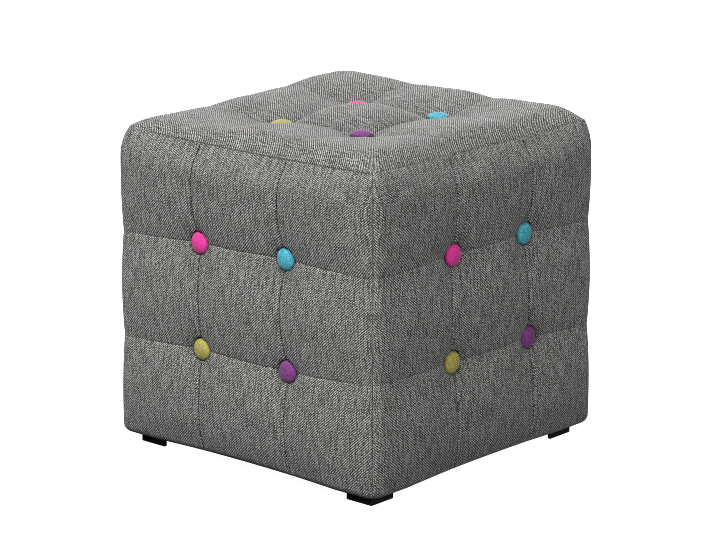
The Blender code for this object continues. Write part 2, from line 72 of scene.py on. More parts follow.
def add_node(tree, kind, settings=None, **sockets):
    """Add a node. Settings are its properties; a socket gets a value or another node's output.

    Sockets are named in lower case with underscores, or i0, i1, ... by their place."""
    node = tree.nodes.new(kind)
    for name, value in (settings or {}).items():
        setattr(node, name, value)
    for name, value in sockets.items():
        if name[0] == "i" and name[1:].isdigit():
            socket = node.inputs[int(name[1:])]
        else:
            socket = next(s for s in node.inputs if s.enabled and s.name.lower().replace(" ", "_") == name)
        if isinstance(value, bpy.types.NodeSocket):
            tree.links.new(value, socket)
        else:
            socket.default_value = value
    return node


def new_finish(name, **sockets):
    """A material with a Principled shader: returns it, its tree and the shader."""
    finish = bpy.data.materials.new(name)
    finish.use_nodes = True
    shader = finish.node_tree.nodes["Principled BSDF"]
    for key, value in sockets.items():
        next(s for s in shader.inputs if s.name.lower().replace(" ", "_") == key).default_value = value
    return finish, finish.node_tree, shader


def dust_cloth():
    """Spunbond polypropylene: matt black, with short paler fibres lying every way."""
    finish, tree, shader = new_finish("spunbond_dust_cloth", roughness=0.9, ior=1.49)
    place = add_node(tree, "ShaderNodeTexCoord")
    fibres = add_node(tree, "ShaderNodeTexVoronoi", {"feature": "DISTANCE_TO_EDGE"},
                      vector=place.outputs["Object"], scale=1.0 / FIBRE_LENGTH)
    share = add_node(tree, "ShaderNodeMapRange", value=fibres.outputs["Distance"],
                     from_min=0.0, from_max=FIBRE_SHARE, to_min=1.0, to_max=0.0)
    colour = add_node(tree, "ShaderNodeMix", {"data_type": "RGBA"}, factor=share.outputs["Result"],
                      a=tone(DUST_CLOTH_BLACK), b=tone(DUST_CLOTH_FIBRE))
    bump = add_node(tree, "ShaderNodeBump", height=share.outputs["Result"], distance=FIBRE_BUMP)
    tree.links.new(colour.outputs["Result"], shader.inputs["Base Color"])
    tree.links.new(bump.outputs["Normal"], shader.inputs["Normal"])
    return finish


def refinish(node, finish):
    """Give a CAD node that stays its better material."""
    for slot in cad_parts[node].material_slots:
        slot.material = finish


refinish("base_board", dust_cloth())


# ---------------------------------------------------------------------- feet
# Four angle-shaped feet of black polypropylene, moulded in one with their fixing
# plates and screwed up into the base board at its corners.

FEET = ("foot_front_left", "foot_front_right", "foot_back_right", "foot_back_left")
FOOT_BLACK = "242424"
FOOT_WORN = "303030"
FOOT_GLOSS = (0.42, 0.56)   # roughness in the hollows and on the grains
MOULD_GRAIN = 0.0012        # spark-eroded grain of the mould, drawn coarse enough to show
MOULD_BUMP = 0.00006
SCUFFS_PER_METRE = 60.0


def moulded_plastic():
    """Moulded polypropylene: near black and satin, with a fine grain that breaks the gloss."""
    finish, tree, shader = new_finish("moulded_polypropylene", ior=1.49)
    place = add_node(tree, "ShaderNodeTexCoord")
    grain = add_node(tree, "ShaderNodeTexNoise", vector=place.outputs["Object"],
                     scale=1.0 / MOULD_GRAIN, detail=2.0)
    scuffs = add_node(tree, "ShaderNodeTexNoise", vector=place.outputs["Object"],
                      scale=SCUFFS_PER_METRE, detail=4.0)
    worn = add_node(tree, "ShaderNodeMapRange", value=scuffs.outputs["Fac"],
                    from_min=0.5, from_max=0.75)
    colour = add_node(tree, "ShaderNodeMix", {"data_type": "RGBA"}, factor=worn.outputs["Result"],
                      a=tone(FOOT_BLACK), b=tone(FOOT_WORN))
    gloss = add_node(tree, "ShaderNodeMapRange", value=grain.outputs["Fac"],
                     from_min=0.3, from_max=0.7, to_min=FOOT_GLOSS[0], to_max=FOOT_GLOSS[1])
    bump = add_node(tree, "ShaderNodeBump", height=grain.outputs["Fac"], distance=MOULD_BUMP)
    tree.links.new(colour.outputs["Result"], shader.inputs["Base Color"])
    tree.links.new(gloss.outputs["Result"], shader.inputs["Roughness"])
    tree.links.new(bump.outputs["Normal"], shader.inputs["Normal"])
    return finish


foot_plastic = moulded_plastic()
for foot in FEET:
    refinish(foot, foot_plastic)


# ---------------------------------------------------------------------- side panels
# Four padded panels of foam under grey melange twill. Two upright tucks are sewn in each,
# two level channels are drawn in by the buttons, and the panels meet in sewn corners.

SIDES = ("front", "right", "back", "left")
HALF_WIDTH = 0.200          # the panel's plane, from the stool's middle
HEM_FLARE = 0.003           # the body is this much wider at the hem
CORNER_RADIUS = 0.016
SEAM_INSET = 0.0070
RIM_HALF = HALF_WIDTH - SEAM_INSET
HEM_HEIGHT = 0.0133
SEAM_HEIGHT = 0.386
HEM_BOW = 0.003             # lift of the hem between two feet
SEAM_SAG = 0.0025           # dip of the top seam between two corners
HEM_RADIUS = 0.010
SEAM_ROLL = 0.035
PAD_DEPTH = 0.040
OUTER_CREST = 0.140
ROW_CRESTS = (0.45, 0.5, 0.55)      # crest of each row of puffs, as a share of its height
BUTTON_RADIUS = max((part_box("top_button_pink")[1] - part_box("top_button_pink")[0])[:2]) / 2.0

SIDE_CROWN = 0.008
CROWN_REACH = 0.045
CHANNEL_DEPTH = 0.0070
CHANNEL_DEPTH_AT_EDGE = 0.0025
TUCK_DEPTH = 0.0030
PULL_DEPTH = 0.0040         # extra pull of a button
PULL_REACH = 0.020
SEAT_SINK = 0.0008          # cloth under a button lies this far behind its back

TUCK_CREASE = 0.0022        # sharp fold where a tuck is sewn
CHANNEL_CREASE = 0.0009
CREASE_WIDTH = 0.0011
EDGE_CREASE = 0.0007        # the cloth turns in to a sewn seam
EDGE_CREASE_WIDTH = 0.0010
PUCKER = 0.00018            # small gathers across a tuck
PUCKER_PITCH = 0.0095
PUCKER_REACH = 0.007
UNEVEN = 0.000175           # hand-laid padding is never quite even: a few broad waves of this height
UNEVEN_WAVES = 9
UNEVEN_LENGTHS = (0.045, 0.110)
SIDE_SEED = 7
PANEL_CLEARANCE = 0.0001    # between neighbouring panels, half of it on each

COLUMN_STEPS = 56           # strips of faces in a column of puffs
ROW_STEPS = 52
EASING = 0.92               # how much closer the mesh lines lie at the tucks and seams
CROSSING_PASSES = 8         # rounds that it takes curved columns and rows to meet
SHARP_ANGLE = 60.0          # degrees; the panel's face meets its walls more sharply than this

# Upright corners, each at the left end of its side: where the low and the high channel
# reach it, and how much rounder it grows up to the seam.
CORNERS = {"front": (0.133, 0.260, 0.010), "right": (0.147, 0.2675, 0.005),
           "back": (0.136, 0.265, 0.000), "left": (0.138, 0.264, 0.005)}

# Upright tucks: across at the hem, bow below, between and above the buttons, across at the seam.
TUCKS = {
    "front": ((-0.0595, -0.0016, 0.0015, -0.0070, -0.0668), (0.0776, -0.0036, -0.0057, -0.0070, 0.0664)),
    "right": ((-0.0604, 0.0013, -0.0089, 0.0000, -0.0620), (0.0784, 0.0020, -0.0039, 0.0090, 0.0669)),
    "back": ((-0.0660, -0.0030, 0.0030, -0.0060, -0.0680), (0.0670, 0.0040, -0.0030, 0.0060, 0.0680)),
    "left": ((-0.0660, 0.0030, -0.0030, 0.0060, -0.0670), (0.0660, -0.0040, 0.0030, -0.0060, 0.0670)),
}

TWILL_WARP = 0.0034         # the weave repeats every four ends and every four picks; drawn a
TWILL_WEFT = 0.0030         # little coarser than it is, as the picture would blur it away
TWILL_LIGHT = "d2d1ce"      # bleached, grey and black yarns of the melange
TWILL_MIDDLE = "5a5a58"
TWILL_DARK = "050505"
YARN_EDGE = 0.3             # how softly a warp yarn dips under the weft, where 1 is softest
TWILL_BUMP = 0.00025
TWILL_BUMP_SHARE = 0.6
SLUB_LENGTH = 0.024         # thicker, paler stretches of yarn, which show as faint upright streaks
SLUB_WIDTH = 0.0024
SWAY_LENGTH = 0.030         # yarns wander by up to half a repeat over about this length
JITTER_SIZE = 0.0022        # yarns lie a little unevenly, which breaks up the twill's lines
JITTER_PHASE = 1.7
FLECK_SIZE = 0.0017
FLECK_SHARE = 0.54          # of flecks against slubs
MELANGE_RANGE = (0.36, 0.64)
# Painted shade, mixed into the twill's colour: at tucks, round buttons, at the hem, low down and in seams.
FOLD_SHADE_WIDTH = 0.0013         # width of the painted shade line where the cloth goes down into a fold
TUCK_SHADE = 0.25
BUTTON_SHADE = 0.8          # painted shade where the cloth dives in behind a button's rim
BUTTON_SHADE_REACH = 0.0018
DIMPLE_SHADE = 0.28         # painted shade: cloth drawn in round a button catches less light
DIMPLE_REACH = 0.011
HEM_SHADE = 0.35            # the hem turns under, out of the light
HEM_SHADE_REACH = 0.009
LOW_SHADE = 0.25            # painted shade: a little darker towards the floor, where less light falls
LOW_SHADE_REACH = 0.075
# painted shade in the top seam, set side by side
SEAM_SHADE = {"front": 0.8, "right": 0.25, "back": 0.5, "left": 0.5}
SEAM_SHADE_WIDTH = 0.0014
# The top seam lies open along most of a side, and closes towards its left end: how far across,
# in half widths, and how much of the shade shows there.
SEAM_OPENING = ((-1.0, -0.85, -0.5, 1.0), (0.0, 0.2, 1.0, 1.0))
CORNER_SHADE = 0.35         # painted shade in the upright seams, drawn tight


def side_axes(side):
    """Across, outward and up of a side, as the rows of a matrix."""
    turn = math.pi / 2.0 * SIDES.index(side)
    across = (round(math.cos(turn)), round(math.sin(turn)), 0.0)
    return np.array([across, (across[1], -across[0], 0.0), (0.0, 0.0, 1.0)])


def side_buttons(side):
    """Across and height of a side's buttons: upper left, upper right, lower left, lower right."""
    places = []
    for colour in ("pink", "turquoise", "lime", "purple"):
        low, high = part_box(f"{side}_button_{colour}")
        places.append(tuple((side_axes(side) @ np.array((low + high) / 2.0))[[0, 2]]))
    return places


def button_seat(side):
    """How far out from the stool's middle the back of a side's buttons lies."""
    low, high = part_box(f"{side}_button_pink")
    outward = side_axes(side)[1]
    return min(abs(outward @ np.array(low)), abs(outward @ np.array(high)))


def along_line(position, stops, values, bows=(0.0, 0.0, 0.0)):
    """Value at a position of a line that runs from stop to stop, each stretch with its bow."""
    result = np.interp(position, stops, values)
    for start, end, bow in zip(stops, stops[1:], bows):
        share = np.clip((position - start) / (end - start), 0.0, 1.0)
        result = result + bow * np.sin(np.pi * share)
    return result


def hem_height(across):
    """Height of the hem, which bows up a little between two feet."""
    return HEM_HEIGHT + HEM_BOW * np.maximum(0.0, 1.0 - (across / OUTER_CREST) ** 2)


def seam_height(across):
    """Height of the seam to the top, which sags a little between two corners."""
    return SEAM_HEIGHT - SEAM_SAG * np.maximum(0.0, 1.0 - (across / HALF_WIDTH) ** 2)


def tuck_lines(side, height):
    """Left edge, two tucks and right edge of a side, across, at given heights."""
    buttons = side_buttons(side)
    tucks = []
    for number, (hem, low_bow, middle_bow, high_bow, seam) in enumerate(TUCKS[side]):
        (high_across, high_height), (low_across, low_height) = buttons[number], buttons[number + 2]
        tucks.append(along_line(height, (HEM_HEIGHT, low_height, high_height, SEAM_HEIGHT),
                                (hem, low_across, high_across, seam), (low_bow, middle_bow, high_bow)))
    edge = np.full_like(tucks[0], HALF_WIDTH)
    return np.stack([-edge, *tucks, edge])


def channel_lines(side, across):
    """Hem, two channels and seam of a side, as heights, at given across positions."""
    buttons = side_buttons(side)
    next_side = SIDES[(SIDES.index(side) + 1) % 4]
    channels = []
    for level, (left, right) in enumerate(((2, 3), (0, 1))):
        stops = (-HALF_WIDTH, buttons[left][0], buttons[right][0], HALF_WIDTH)
        heights = (CORNERS[side][level], buttons[left][1], buttons[right][1],
                   CORNERS[next_side][level])
        channels.append(along_line(across, stops, heights))
    return np.stack([hem_height(across), *channels, seam_height(across)])


def mesh_shares(steps):
    """Positions of the mesh lines over three cells, closer together where the cells meet."""
    share = np.arange(steps) / steps
    spaced = share - EASING * np.sin(2.0 * np.pi * share) / (2.0 * np.pi)
    return np.concatenate([spaced, 1.0 + spaced, 2.0 + spaced, [3.0]])


def on_lines(share, lines):
    """The place at a share of the way over three cells that are bounded by four lines."""
    cell = np.minimum(share.astype(int), 2)
    low = np.take_along_axis(lines, cell[None], axis=0)[0]
    high = np.take_along_axis(lines, cell[None] + 1, axis=0)[0]
    return low + (high - low) * (share - cell)


def crossing_grid(columns_at, rows_at, column_steps, row_steps):
    """Where the slightly curved column and row lines of a panel's mesh cross."""
    column, row = np.meshgrid(mesh_shares(column_steps), mesh_shares(row_steps))
    across = np.zeros_like(column)
    height = on_lines(row, rows_at(across))
    for _ in range(CROSSING_PASSES):
        across = on_lines(column, columns_at(height))
        height = on_lines(row, rows_at(across))
    return across, height


def valley(position, lines, crests):
    """1 on the two inner lines, falling as a parabola to 0 on the crest of each cell."""
    result = np.zeros_like(position)
    for line, crest in ((1, 0), (1, 1), (2, 1), (2, 2)):
        share = (position - crests[crest]) / (lines[line] - crests[crest])
        result = np.where((share > 0.0) & (share <= 1.0), share ** 2, result)
    return result


def unevenness(seed, across, height):
    """Low, broad waves in the padding, from a few sines in seeded directions."""
    draw = np.random.default_rng(seed)
    total = np.zeros_like(across)
    for _ in range(UNEVEN_WAVES):
        heading = draw.uniform(0.0, math.tau)
        length = draw.uniform(*UNEVEN_LENGTHS)
        phase = draw.uniform(0.0, math.tau)
        along = across * math.cos(heading) + height * math.sin(heading)
        total += np.sin(along * math.tau / length + phase)
    return UNEVEN * total


def toward_edge(across):
    """0 over most of a side, rising to 1 at its upright edges."""
    return (np.abs(across) / HALF_WIDTH) ** 4


def side_crown(across, height):
    """Broad bulge of a side panel beyond its plane."""
    rims = np.minimum(height - hem_height(across), seam_height(across) - height)
    into_crown = np.clip(rims / CROWN_REACH, 0.0, 1.0)
    return SIDE_CROWN * (1.0 - toward_edge(across)) * into_crown * (2.0 - into_crown)


def side_relief(side, across, height):
    """What the channels, tucks, gathers and buttons add to that bulge."""
    tucks = tuck_lines(side, height)
    channels = channel_lines(side, across)
    hem, low, high, seam = channels
    at_edge = toward_edge(across)
    rims = np.minimum(height - hem, seam - height)

    row_crests = [hem + (low - hem) * ROW_CRESTS[0], low + (high - low) * ROW_CRESTS[1],
                  high + (seam - high) * ROW_CRESTS[2]]
    channel = CHANNEL_DEPTH + (CHANNEL_DEPTH_AT_EDGE - CHANNEL_DEPTH) * at_edge
    relief = -channel * valley(height, channels, row_crests)
    column_crests = [-OUTER_CREST, (tucks[1] + tucks[2]) / 2.0, OUTER_CREST]
    relief -= TUCK_DEPTH * valley(across, tucks, column_crests)

    for tuck in tucks[1:3]:
        distance = np.abs(across - tuck)
        relief -= TUCK_CREASE * np.exp(-distance / CREASE_WIDTH)
        relief += PUCKER * np.sin(math.tau * height / PUCKER_PITCH) * np.exp(-distance / PUCKER_REACH)
    for line in (low, high):
        relief -= CHANNEL_CREASE * (1.0 - at_edge) * np.exp(-np.abs(height - line) / CREASE_WIDTH)
    relief += unevenness(SIDE_SEED + SIDES.index(side), across, height) * (1.0 - at_edge)

    for button_across, button_height in side_buttons(side):
        distance = np.hypot(across - button_across, height - button_height)
        relief -= PULL_DEPTH * np.exp(-distance / PULL_REACH)
    return relief * np.clip(rims / HEM_RADIUS, 0.0, 1.0)


def seam_roll(across, height):
    """0 below the roll at the top of a side panel, rising to 1 at the seam."""
    return np.clip(1.0 - (seam_height(across) - height) / SEAM_ROLL, 0.0, 1.0) ** 2


def side_inset(across, height):
    """How far the plain panel lies behind its plane: the rolls at its hem and seam, and its flare."""
    above_hem = height - hem_height(across)
    below_seam = seam_height(across) - height
    drop = np.clip(HEM_RADIUS - above_hem, 0.0, HEM_RADIUS)
    inset = HEM_RADIUS - np.sqrt(HEM_RADIUS ** 2 - drop ** 2)
    inset += SEAM_INSET * seam_roll(across, height)
    inset -= HEM_FLARE * below_seam / (below_seam + above_hem)
    edge = np.minimum(HALF_WIDTH - np.abs(across), below_seam)
    return inset + EDGE_CREASE * np.exp(-(edge / EDGE_CREASE_WIDTH) ** 2)


def ring_point(along, half_width, radius, reach):
    """Across and outward on a square ring with round corners, for one of its four sides."""
    straight = half_width - radius
    past = np.maximum(np.abs(along) - straight, 0.0)
    angle = np.arctan2(past, reach)
    bent = past > 0.0
    across = np.where(bent, np.copysign(straight + radius * np.sin(angle), along), along)
    outward = np.where(bent, straight + radius * np.cos(angle), half_width)
    return across, outward


def side_face(side, across, height, quilted=True):
    """Points of a side panel's face, in the panel's own axes: as quilted, or as it was cut out."""
    outward = side_crown(across, height) - side_inset(across, height)
    if quilted:
        outward += side_relief(side, across, height)
        seat = button_seat(side)
        for button_across, button_height in side_buttons(side):
            under = np.hypot(across - button_across, height - button_height) < BUTTON_RADIUS
            outward = np.where(under, np.minimum(outward, seat - SEAT_SINK - HALF_WIDTH), outward)
    next_side = SIDES[(SIDES.index(side) + 1) % 4]
    softening = np.where(across < 0.0, CORNERS[side][2], CORNERS[next_side][2])
    radius = CORNER_RADIUS + softening * seam_roll(across, height)
    ring_across, ring_outward = ring_point(across, HALF_WIDTH + outward, radius + outward, radius)
    return np.stack([ring_across, ring_outward, height], axis=-1)


def cloth_lengths(points):
    """Length of cloth along the rows and along the columns, from the panel's middle."""
    steps_along = np.linalg.norm(np.diff(points, axis=1), axis=2)
    steps_up = np.linalg.norm(np.diff(points, axis=0), axis=2)
    rows, columns = points.shape[:2]
    along = np.concatenate([np.zeros((rows, 1)), np.cumsum(steps_along, axis=1)], axis=1)
    up = np.concatenate([np.zeros((1, columns)), np.cumsum(steps_up, axis=0)], axis=0)
    return along - along[:, [columns // 2]], up - up[[rows // 2], :]


def padded_piece(name, face, inner, cloth, fold):
    """A closed padded solid: a grid of face points, walls behind its rim, and a flat back.

    Inner holds the points behind each face point, cloth the two lengths of cloth, and fold
    how much shade is painted into the cloth's colour, from 0 to 1, in folds and seams."""
    rows, columns = face.shape[:2]
    number = np.arange(rows * columns).reshape(rows, columns)
    rim = np.concatenate([number[0, :-1], number[:-1, -1], number[-1, :0:-1], number[:0:-1, 0]])
    back = rows * columns + np.arange(len(rim))
    middle = back[-1] + 1
    quads = np.stack([number[:-1, :-1], number[:-1, 1:], number[1:, 1:], number[1:, :-1]], axis=-1)
    ahead, back_ahead = np.roll(rim, -1), np.roll(back, -1)
    walls = np.stack([ahead, rim, back, back_ahead], axis=-1)
    caps = np.stack([back_ahead, back, np.full_like(back, middle)], axis=-1)
    inner_rim = inner.reshape(-1, 3)[rim]
    points = np.concatenate([face.reshape(-1, 3), inner_rim, inner_rim.mean(axis=0)[None]])

    faces = quads.reshape(-1, 4).tolist() + walls.tolist() + caps.tolist()
    mesh = bpy.data.meshes.new(name)
    mesh.from_pydata(points.tolist(), [], faces)
    lengths = np.stack(cloth, axis=-1).reshape(-1, 2)
    lengths = np.concatenate([lengths, lengths[rim], lengths[rim].mean(axis=0)[None]])
    corners = np.empty(len(mesh.loops), dtype=np.int32)
    mesh.loops.foreach_get("vertex_index", corners)
    mesh.uv_layers.new(name="Cloth").uv.foreach_set("vector", lengths[corners].astype(np.float32).ravel())
    folds = np.concatenate([fold.ravel(), np.ones(len(points) - fold.size)])
    mesh.attributes.new("Fold", "FLOAT", "POINT").data.foreach_set("value", folds.astype(np.float32))
    mesh.shade_smooth()
    mesh.set_sharp_from_angle(angle=math.radians(SHARP_ANGLE))
    mesh.validate()
    piece = bpy.data.objects.new(name, mesh)
    bpy.context.scene.collection.objects.link(piece)
    return piece


def melange_twill():
    """2/2 twill of melange wool-look polyester: light warp over dark weft in fine slanting
    lines, with uneven yarns that give the grey its salt-and-pepper look. Matt and a little fuzzy."""
    finish, tree, shader = new_finish("melange_twill", roughness=0.92, ior=1.45, sheen_weight=0.15,
                                      sheen_roughness=0.5)
    cloth = add_node(tree, "ShaderNodeUVMap", {"uv_map": "Cloth"})
    sway = add_node(tree, "ShaderNodeTexNoise", vector=cloth.outputs["UV"], scale=1.0 / SWAY_LENGTH,
                    detail=3.0)
    centred = add_node(tree, "ShaderNodeVectorMath", {"operation": "SUBTRACT"}, i0=sway.outputs["Color"],
                       i1=(0.5, 0.5, 0.5))
    swayed = add_node(tree, "ShaderNodeVectorMath", {"operation": "MULTIPLY_ADD"},
                      i0=centred.outputs["Vector"], i1=(TWILL_WARP, TWILL_WEFT, 0.0),
                      i2=cloth.outputs["UV"])
    repeats = add_node(tree, "ShaderNodeVectorMath", {"operation": "MULTIPLY"},
                       i0=swayed.outputs["Vector"], i1=(math.tau / TWILL_WARP, math.tau / TWILL_WEFT, 0.0))
    yarns = add_node(tree, "ShaderNodeSeparateXYZ", vector=repeats.outputs["Vector"])
    phase = add_node(tree, "ShaderNodeMath", {"operation": "SUBTRACT"}, i0=yarns.outputs["X"],
                     i1=yarns.outputs["Y"])
    jitter = add_node(tree, "ShaderNodeTexNoise", {"noise_dimensions": "2D"},
                      vector=cloth.outputs["UV"], scale=1.0 / JITTER_SIZE, detail=0.0)
    uneven = add_node(tree, "ShaderNodeMath", {"operation": "MULTIPLY_ADD"}, i0=jitter.outputs["Fac"],
                      i1=JITTER_PHASE, i2=phase.outputs["Value"])
    wave = add_node(tree, "ShaderNodeMath", {"operation": "SINE"}, i0=uneven.outputs["Value"])
    over = add_node(tree, "ShaderNodeMapRange", {"interpolation_type": "SMOOTHSTEP"},
                    value=wave.outputs["Value"], from_min=-YARN_EDGE, from_max=YARN_EDGE)

    slub_scale = add_node(tree, "ShaderNodeVectorMath", {"operation": "MULTIPLY"},
                          i0=cloth.outputs["UV"], i1=(1.0 / SLUB_WIDTH, 1.0 / SLUB_LENGTH, 1.0))
    slubs = add_node(tree, "ShaderNodeTexNoise", {"noise_dimensions": "2D"},
                     vector=slub_scale.outputs["Vector"], scale=1.0, detail=2.0, roughness=0.6)
    flecks = add_node(tree, "ShaderNodeTexNoise", {"noise_dimensions": "2D"},
                      vector=cloth.outputs["UV"], scale=1.0 / FLECK_SIZE, detail=0.0)
    melange = add_node(tree, "ShaderNodeMix", {"data_type": "FLOAT"}, factor=FLECK_SHARE,
                       a=slubs.outputs["Fac"], b=flecks.outputs["Fac"])
    pale = add_node(tree, "ShaderNodeMapRange", value=melange.outputs["Result"],
                    from_min=MELANGE_RANGE[0], from_max=MELANGE_RANGE[1])
    warp = add_node(tree, "ShaderNodeMix", {"data_type": "RGBA"}, factor=pale.outputs["Result"],
                    a=tone(TWILL_MIDDLE), b=tone(TWILL_LIGHT))
    weft = add_node(tree, "ShaderNodeMix", {"data_type": "RGBA"}, factor=pale.outputs["Result"],
                    a=tone(TWILL_DARK), b=tone(TWILL_MIDDLE))
    colour = add_node(tree, "ShaderNodeMix", {"data_type": "RGBA"}, factor=over.outputs["Result"],
                      a=weft.outputs["Result"], b=warp.outputs["Result"])
    # painted shade: a mesh attribute darkens the cloth towards TWILL_DARK in its folds, seams, channels
    # and low down
    fold = add_node(tree, "ShaderNodeAttribute", {"attribute_name": "Fold"})
    shaded = add_node(tree, "ShaderNodeMix", {"data_type": "RGBA"}, factor=fold.outputs["Fac"],
                      a=colour.outputs["Result"], b=tone(TWILL_DARK))
    bump = add_node(tree, "ShaderNodeBump", height=over.outputs["Result"], distance=TWILL_BUMP,
                    strength=TWILL_BUMP_SHARE)
    tree.links.new(shaded.outputs["Result"], shader.inputs["Base Color"])
    tree.links.new(bump.outputs["Normal"], shader.inputs["Normal"])
    return finish


def side_painted_shade(side, across, height):
    """Painted shade on a side's cloth: at its tucks, round its buttons, at its hem, low down and in its
    seams.
    """
    shade = np.zeros_like(across)
    tucks = tuck_lines(side, height)
    for tuck in tucks[1:3]:
        shade = np.maximum(shade, TUCK_SHADE * np.exp(-((across - tuck) / FOLD_SHADE_WIDTH) ** 2))
    for button_across, button_height in side_buttons(side):
        past = np.maximum(np.hypot(across - button_across, height - button_height) - BUTTON_RADIUS, 0.0)
        shade = np.maximum(shade, BUTTON_SHADE * np.exp(-past / BUTTON_SHADE_REACH))
        shade = np.maximum(shade, DIMPLE_SHADE * np.exp(-past / DIMPLE_REACH))
    above_hem = height - hem_height(across)
    shade = np.maximum(shade, HEM_SHADE * np.exp(-above_hem / HEM_SHADE_REACH))
    shade = np.maximum(shade, LOW_SHADE * np.exp(-(above_hem / LOW_SHADE_REACH) ** 2))
    from_corner = HALF_WIDTH - np.abs(across)
    shade = np.maximum(shade, CORNER_SHADE * np.exp(-(from_corner / FOLD_SHADE_WIDTH) ** 2))
    below_seam = seam_height(across) - height
    opening = SEAM_SHADE[side] * np.interp(across / HALF_WIDTH, *SEAM_OPENING)
    return np.maximum(shade, opening * np.exp(-(below_seam / SEAM_SHADE_WIDTH) ** 2))


def side_panel(side, finish):
    """One padded side, in place of its CAD solid."""
    across, height = crossing_grid(lambda h: tuck_lines(side, h), lambda a: channel_lines(side, a),
                                   COLUMN_STEPS, ROW_STEPS)
    face = side_face(side, across, height)
    at_corner = np.abs(across) >= HALF_WIDTH
    face[..., 0] -= PANEL_CLEARANCE / 2.0 * np.sign(across) * at_corner
    hem = hem_height(across)
    share = (height - hem) / (seam_height(across) - hem)
    inner_half = RIM_HALF - PAD_DEPTH
    inner = np.stack([across * inner_half / HALF_WIDTH, np.full_like(across, inner_half),
                      hem + (SEAM_HEIGHT - PAD_DEPTH - hem) * share], axis=-1)
    along, up = cloth_lengths(side_face(side, across, height, quilted=False))
    lean = 1.0 if side in ("front", "back") else -1.0
    axes = side_axes(side)
    panel = padded_piece(f"{side}_padded_panel", face @ axes, inner @ axes, (along * lean, up),
                         side_painted_shade(side, across, height))
    panel.data.materials.append(finish)
    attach(panel, "root")
    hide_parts(f"{side}_panel")


twill = melange_twill()
for side in SIDES:
    side_panel(side, twill)


# ---------------------------------------------------------------------- top panel
# The seat: a thicker pad with nine puffs between four channels. Its cloth is turned a
# quarter, rounds over all four edges and is sewn to the side panels.

INNER_TOP = SEAM_HEIGHT - PAD_DEPTH
TOP_RIM_REACH = 0.036
TOP_RIM_POWER = 3.0
TOP_OUTER_CREST = 0.160
TOP_CHANNEL_DEPTH = 0.0135
TOP_CHANNEL_DEPTH_AT_EDGE = 0.0035
TOP_CHANNEL_FADE = 0.066
TOP_VALLEY_POWER = 2.5
TOP_PULL_DEPTH = 0.0046
TOP_PULL_REACH = 0.0175

# Crests of the nine puffs, a row from left to right and the rows from front to back. They are
# read between these places, and the seat is worn lowest at its front left corner.
TOP_CRESTS = ((0.3950, 0.4037, 0.4050), (0.3974, 0.4058, 0.4067), (0.4032, 0.4021, 0.4026))
TOP_CREST_SPACING = 0.120
TOP_CREASE = 0.0022         # fold at the bottom of a top channel, near its buttons
TOP_CREASE_FADE = 0.030
TOP_CORNER_SOFTNESS = 0.012
TOP_SEED = 3
TINY = 1e-9                 # keeps a division by zero out of the middle of the top
CHANNEL_SHADE = 0.28        # painted shade: the cloth in the channels is less lit than on the puffs
# painted shade in the top's creases near its buttons
CREASE_SHADE = 0.6
TOP_STEPS = 56


def top_buttons():
    """Places of the top's four buttons by colour."""
    places = {}
    for colour in ("lime", "purple", "turquoise", "pink"):
        low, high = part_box(f"top_button_{colour}")
        places[colour] = np.array((low + high) / 2.0)[:2]
    return places


def top_lines(position, first_pair, second_pair, coordinate):
    """Rim, two channels and rim of the top across one direction, at positions along the other."""
    places = top_buttons()
    edge = np.full_like(position, RIM_HALF)
    lines = [-edge]
    for first, second in (first_pair, second_pair):
        stops = (places[first][1 - coordinate], places[second][1 - coordinate])
        lines.append(np.interp(position, stops, (places[first][coordinate], places[second][coordinate])))
    return np.stack([*lines, edge])


def top_columns(y):
    """Rims and channels of the top that run from front to back, at given y."""
    return top_lines(y, ("lime", "pink"), ("purple", "turquoise"), 0)


def top_rows(x):
    """Rims and channels of the top that run from left to right, at given x."""
    return top_lines(x, ("lime", "purple"), ("pink", "turquoise"), 1)


def eased(share):
    """A share from 0 to 1 with a soft start and end."""
    share = np.clip(share, 0.0, 1.0)
    return share * share * (3.0 - 2.0 * share)


def crest_height(x, y):
    """Height of the puffs' tops, blended between the nine crests."""
    shares = []
    for position in (x, y):
        past_first = eased(position / TOP_CREST_SPACING + 1.0)
        past_middle = eased(position / TOP_CREST_SPACING)
        shares.append(np.stack([1.0 - past_first, past_first - past_middle, past_middle]))
    return np.einsum("rc,c...,r...->...", np.array(TOP_CRESTS), *shares)


def top_valley(position, along, lines):
    """Depth of the two channels across one direction of the top."""
    crests = (-TOP_OUTER_CREST, (lines[1] + lines[2]) / 2.0, TOP_OUTER_CREST)
    fade = eased((np.abs(along) - TOP_CHANNEL_FADE) / (TOP_OUTER_CREST - TOP_CHANNEL_FADE))
    depth = TOP_CHANNEL_DEPTH + (TOP_CHANNEL_DEPTH_AT_EDGE - TOP_CHANNEL_DEPTH) * fade
    return depth * valley(position, lines, crests) ** (TOP_VALLEY_POWER / 2.0)


def rim_rounding(position):
    """1 on the top, falling over its rounded rim to 0 at the seam."""
    reach = np.clip((np.abs(position) - (RIM_HALF - TOP_RIM_REACH)) / TOP_RIM_REACH, 0.0, 1.0)
    return 1.0 - reach ** TOP_RIM_POWER


